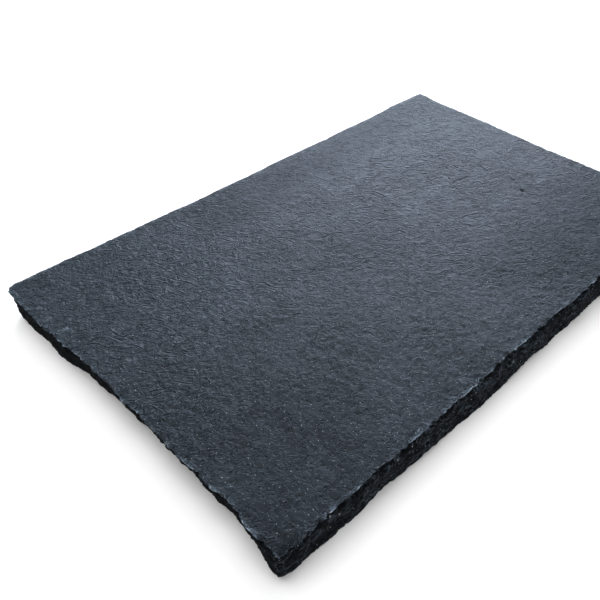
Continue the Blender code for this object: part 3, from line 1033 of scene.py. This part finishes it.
# %% fresh breaks and dark marks
NEAR_RIM = (1.5 * MM, 7.0 * MM)
RIM_LINE = (0.5 * MM, 1.5 * MM)
CREST_FLECK, GRAIN_FLECK = 1.2, 0.5
GRAIN_FLECKS, FLECK_PATCHES = (0.54, 0.62), (0.42, 0.54)
CHIPPED_ENOUGH, CHIP_GRAIN = (0.15, 0.6), (0.42, 0.58)
LINE_PATCHES = (0.50, 0.56)
GLINT_SPACING, GLINT_PATCHES, GLINT = 3.0 * MM, (0.48, 0.56), 0.35
PIT_SHADE_REACH, CRACK_SHADE_REACH = 0.75, 0.6

rim_distance = attribute("from_arris")
# Painted highlight: pale flecks on crests and grain near the arris, and a thin pale line along it.
flecks = s.most(s.mul(crests, CREST_FLECK), s.mul(s.ramp(fine, *GRAIN_FLECKS), GRAIN_FLECK))
rim_fleck = s.mul(s.fall(rim_distance, *NEAR_RIM), flecks, s.ramp(wide, *FLECK_PATCHES))
fresh = s.mul(s.ramp(attribute("chipped"), *CHIPPED_ENOUGH), s.ramp(fine, *CHIP_GRAIN))
rim = s.mul(s.fall(rim_distance, *RIM_LINE), s.ramp(wide, *LINE_PATCHES))
face_colour = mixed(s.do("MINIMUM", s.most(rim_fleck, fresh, rim), 1.0), face_colour, BREAK_AND_HIGHLIGHT_PALE)
# Painted glints: calcite-white spots along the arris line.
rim_glint = s.mul(rim, s.ramp(s.noise(at_scale(s, here, GLINT_SPACING)), *GLINT_PATCHES))
face_colour = mixed(s.mul(rim_glint, GLINT), face_colour, CALCITE_AND_GLINT)
# Painted shade: the bottoms of the single pits and cracks are mixed towards the dark crease colour.
pit_bottom_shade = s.most(*(pit_at(s, here, centre, PIT_SHADE_REACH * radius) for centre, radius in PITS))
crack_bottom_shade = s.most(*(crack_along(s, here, CRACK_SHADE_REACH * CRACK_WIDTH, *mark) for mark in CRACKS))
marked = s.most(pit_bottom_shade, crack_bottom_shade)
face_colour = mixed(marked, face_colour, PAINTED_SHADE)
print("nodes with the colour of the face:", len(tree.nodes))

# %% [markdown]
# ## The colour of the broken edges
# The edges are nearly black, with pale streaks along the layers, rubble between them, and facets that
# each have a tone of their own. The left side gets painted shade: its tone, flecks and specks are cut to
# a small share. A painted shadow darkens the edge just under the arris, and pale flecks are painted
# glints. One spot of rust sits on the front side. Vertex colours could hold all this, but only as finely
# as the mesh.

# %% streaks, rubble and facets
STREAK_SPACING, STREAK_STRETCH, STREAKS, STREAK_TONE = 9.0 * MM, (1, 1, 6), (0.51, 0.62), 1.3
RUBBLE_PALE, RUBBLE_TONE = (0.46, 0.64), 0.5
TONE_STRETCH, FACET_TONES = (1, 1, 1.5), (0.2, 0.9, 0.15, 1.0)
LEFT_EDGE, FRONT_EDGE = (-288.0 * MM, -278.0 * MM), (-190.0 * MM, -185.0 * MM)
LEFT_SHADE_SHARE = 0.15
SHADOW_UNDER_ARRIS = (1.0 * MM, 5.0 * MM)

streak = s.ramp(s.noise(at_scale(s, here, STREAK_SPACING, STREAK_STRETCH), detail=3.0), *STREAKS)
edge_tone = s.weighed((s.ramp(rubble, *RUBBLE_PALE), RUBBLE_TONE), (streak, STREAK_TONE))
facet_tone = s.parts(s.cells(at_scale(s, here, FACET_SPACING, TONE_STRETCH), "Color"))[0]
# Painted shade: the left side keeps only a small share of its tone, flecks and specks.
left_side_shade = s.most(s.ramp(here_x, *LEFT_EDGE, LEFT_SHADE_SHARE, 1.0), s.fall(here_y, *FRONT_EDGE, LEFT_SHADE_SHARE))
# Painted shadow: the edge's tone fades to the dark edge colour within a few millimetres under the arris.
edge_tone = s.mul(edge_tone, s.ramp(rim_distance, *SHADOW_UNDER_ARRIS), s.ramp(facet_tone, *FACET_TONES), left_side_shade)
edge_colour = mixed(edge_tone, EDGE_DARK, EDGE_PALE)
print("nodes with the tone of the edges:", len(tree.nodes))

# %% painted glints, specks and rust on the edges
EDGE_FLECK_SPACING, EDGE_GLINT = 2.2 * MM, 0.45
EDGE_FLECKS, EDGE_FLECK_PATCHES = (0.56, 0.66), (0.40, 0.58)
EDGE_SPECK_SPACING, EDGE_SPECK = 4.5 * MM, 0.65
EDGE_SPECK_SIZE, EDGE_SPECK_CHANCE = (0.04, 0.16), (0.3, 1.0)
RUST_AT, RUST_REACH = (-0.0515, -0.1950, 0.0260), (0.8 * MM, 1.4 * MM)

# Painted glints: pale flecks on the edges.
fleck_noise = s.noise(at_scale(s, here, EDGE_FLECK_SPACING), detail=1.0)
edge_glint = s.mul(s.ramp(fleck_noise, *EDGE_FLECKS), s.ramp(wide, *EDGE_FLECK_PATCHES))
edge_colour = mixed(s.mul(edge_glint, EDGE_GLINT, left_side_shade), edge_colour, BREAK_AND_HIGHLIGHT_PALE)
edge_speck_place = at_scale(s, here, EDGE_SPECK_SPACING)
size_chance, glow_chance, _ = s.parts(s.cells(edge_speck_place, "Color"))
edge_speck = s.do("LESS_THAN", s.cells(edge_speck_place), s.blend(size_chance, *EDGE_SPECK_SIZE))
edge_speck = s.mul(edge_speck, s.ramp(glow_chance, *EDGE_SPECK_CHANCE))
edge_colour = mixed(s.mul(edge_speck, EDGE_SPECK, left_side_shade), edge_colour, CALCITE_AND_GLINT)
edge_colour = mixed(nearness(s, here, RUST_AT, *RUST_REACH), edge_colour, RUST)
print("nodes with the colour of the edges:", len(tree.nodes))

# %% [markdown]
# ## Specks of calcite
# Tiny white grains are strewn over the face, each with its own size and brightness. Scattering little
# meshes would cost thousands of faces. A Voronoi texture has one centre in each cell, and the cell's
# random colour gives that centre its size and strength. It is read flat, from above, so that the specks
# stay round on the wrinkled face.

# %% specks on the face
SPECK_SPACING = 5.0 * MM
SPECK_SIZE = (0.026, 0.066)
SPECK_STRENGTH = (0.1, 1.0, 0.08, 0.75)
EDGE_SHARE = (0.3, 0.7)

edge_here = s.ramp(attribute("on_edge"), *EDGE_SHARE)
colour = mixed(edge_here, face_colour, edge_colour)
speck_place = at_scale(s, here, SPECK_SPACING)
size_chance, glow_chance, _ = s.parts(s.cells(speck_place, "Color", "2D"))
speck = s.do("LESS_THAN", s.cells(speck_place, dimensions="2D"), s.blend(size_chance, *SPECK_SIZE))
speck = s.mul(speck, s.ramp(glow_chance, *SPECK_STRENGTH))
colour = mixed(s.mul(speck, s.sub(1.0, edge_here)), colour, CALCITE_AND_GLINT)
print("specks up to millimetres across:", round(2 * SPECK_SIZE[1] * SPECK_SPACING / MM, 2))

# %% [markdown]
# ## Sheen and bump
# Split limestone has a soft sheen: smoother on rubbed crests, dull in creases, in single marks and on the
# broken edges. The roughness follows those same masks. The reflection is weak all over, so its level is one
# number on the shader itself. A clear coat would give a wet look, which this dry stone doesn't have.

# %% the shader
ROUGH_RANGE, ROUGH_VALUES = (0.0, 0.5), (0.46, 0.72)
CREASE_ROUGH, DULL_ROUGH, CALM_ROUGH, EDGE_ROUGH = 0.16, 0.12, 0.07, 0.95
REFLECTION = 0.08
BUMP_UNIT = 1.0 * MM

creases = s.most(grooves, s.mul(wide_groove, coarser))
rough = s.ramp(s.weighed((crests, -0.12), (fine, 0.2), (edge_here, 0.25)), *ROUGH_RANGE, *ROUGH_VALUES)
rough = s.add(rough, s.mul(creases, CREASE_ROUGH), s.mul(dull, DULL_ROUGH), s.mul(calm, CALM_ROUGH))
rough = s.most(rough, s.most(marked, s.mul(edge_here, EDGE_ROUGH)))
bump_height = s.add(s.mul(face_height, s.sub(1.0, edge_here)), s.mul(edge_height, edge_here))
bump = add_node(tree, "ShaderNodeBump", {"Strength": 1.0, "Distance": BUMP_UNIT, "Height": bump_height})
finish = {"Base Color": colour, "Roughness": rough, "Normal": bump.outputs[0]}
shader = add_node(tree, "ShaderNodeBsdfPrincipled", {**finish, "Specular IOR Level": REFLECTION})
add_node(tree, "ShaderNodeOutputMaterial", {"Surface": shader.outputs[0]})
print("nodes in the material:", len(tree.nodes))

# %% [markdown]
# ## Dress the stone
# The tree and the material now meet the mesh. The modifier's inputs are set by each socket's identifier,
# before the object is evaluated for the first time. The result is turned into a plain mesh, because a
# part in a library should hold its shape with no modifier on it. Shading is smooth, except over breaks
# sharper than an angle.

# %% dress the stone
SHARP_ANGLE = math.radians(50)

modifier = stone.modifiers.new("relief", "NODES")
modifier.node_group = relief
identifiers = {i.name: i.identifier for i in relief.interface.items_tree if i.in_out == "INPUT"}
for name, value in RELIEF_INPUTS.items():
    modifier[identifiers[name]] = value
modifier[identifiers["Lowest corner"]] = tuple(box_low)
modifier[identifiers["Highest corner"]] = tuple(box_high)
modifier[identifiers["Material"]] = material
bpy.context.view_layer.update()
stone.data = plain_mesh(stone, "riven_stone")
stone.modifiers.clear()
stone.data.shade_smooth()
stone.data.set_sharp_from_angle(angle=SHARP_ANGLE)
stone.data.calc_loop_triangles()
print("triangles:", len(stone.data.loop_triangles), "material:", stone.data.materials[0].name)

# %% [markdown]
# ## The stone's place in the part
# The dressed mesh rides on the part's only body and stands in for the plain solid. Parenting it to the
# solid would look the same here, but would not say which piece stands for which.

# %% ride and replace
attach(stone, "root")
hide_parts("limestone_tile")
print("dressed:", stone.name, "in place of", cad_stone.name)

# %% [markdown]
# ## The floor
# The tile lies on a plain, matt, nearly white floor that runs far past the view. It is a little warm, to
# balance the cool lamps. A curved backdrop would hide a horizon, but the camera looks down and sees
# none. A small gap under the bed keeps the two faces out of one plane, where neither would be in front.

# %% the floor
FLOOR_HALF = 7.0
FLOOR_GAP = 0.2 * MM
FLOOR_PAINT = {"Base Color": (0.97, 0.902, 0.835, 1), "Roughness": 0.9, "Specular IOR Level": 0.0}

signs = ((-1, -1), (1, -1), (1, 1), (-1, 1))
floor_mesh = bpy.data.meshes.new("floor")
floor_mesh.from_pydata([(x * FLOOR_HALF, y * FLOOR_HALF, 0) for x, y in signs], [], [(0, 1, 2, 3)])
floor = bpy.data.objects.new("floor", floor_mesh)
floor.location.z = -FLOOR_GAP
scene.collection.objects.link(floor)
floor_paint = bpy.data.materials.new("pale_floor")
floor_paint.use_nodes = True
for name, value in FLOOR_PAINT.items():
    floor_paint.node_tree.nodes["Principled BSDF"].inputs[name].default_value = value
floor.data.materials.append(floor_paint)
print("floor in metres:", 2 * FLOOR_HALF, "by", 2 * FLOOR_HALF)

# %% [markdown]
# ## The light
# Six wide lamps and a pale room light the stone softly. One hangs overhead, one each stands to the left,
# in front and behind, and two stand low beyond the far corner: they give the paler sheen of the far
# end. Fewer and smaller lamps would cast hard shadows, and a bright room alone would cast hardly any. A
# lamp's energy follows from its size, so that it can grow without growing brighter.

# %% the lamps and the room
COOL_WHITE = (0.93, 1.0, 1.08)
FAR_WHITE = (0.88, 1.0, 1.22)
ROOM_GLOW = 0.34
LAMP_DISTANCE = 2.6
LAMPS = {
    "high_lamp": (44, 88, (1.6, 1.6), 3.4, COOL_WHITE),
    "left_lamp": (130, 60, (1.6, 1.6), 3.2, COOL_WHITE),
    "front_lamp": (224, 45, (1.6, 1.6), 1.5, COOL_WHITE),
    "back_lamp": (44, 50, (1.6, 1.2), 2.4, COOL_WHITE),
    "far_lamp": (38, 24, (1.5, 0.55), 15.0, FAR_WHITE),
    "low_lamp": (38, 14, (2.4, 0.4), 18.5, FAR_WHITE),
}


def lamp(name, azimuth, elevation, size, glow, colour):
    """A rectangular lamp that faces the tile. A glow of 1 is as bright as a fully lit white floor."""
    data = bpy.data.lights.new(name, "AREA")
    data.shape = "RECTANGLE"
    data.size, data.size_y = size
    data.energy = glow * math.pi * size[0] * size[1]
    data.color = colour
    obj = bpy.data.objects.new(name, data)
    turn, tilt = math.radians(azimuth), math.radians(elevation)
    level = math.cos(tilt)
    obj.location = LAMP_DISTANCE * Vector((math.cos(turn) * level, math.sin(turn) * level, math.sin(tilt)))
    obj.rotation_euler = (-obj.location).to_track_quat("-Z", "Y").to_euler()
    scene.collection.objects.link(obj)


for name, settings in LAMPS.items():
    lamp(name, *settings)
room = bpy.data.worlds.new("pale_room")
room.use_nodes = True
room.node_tree.nodes["Background"].inputs["Color"].default_value = (*COOL_WHITE, 1)
room.node_tree.nodes["Background"].inputs["Strength"].default_value = ROOM_GLOW
scene.world = room
scene.view_settings.view_transform = "Standard"
print("lamps:", len(LAMPS), "brightest:", max(LAMPS, key=lambda name: LAMPS[name][3]))

# %% [markdown]
# ## The sizes
# The stone has to stay inside the solid's box.
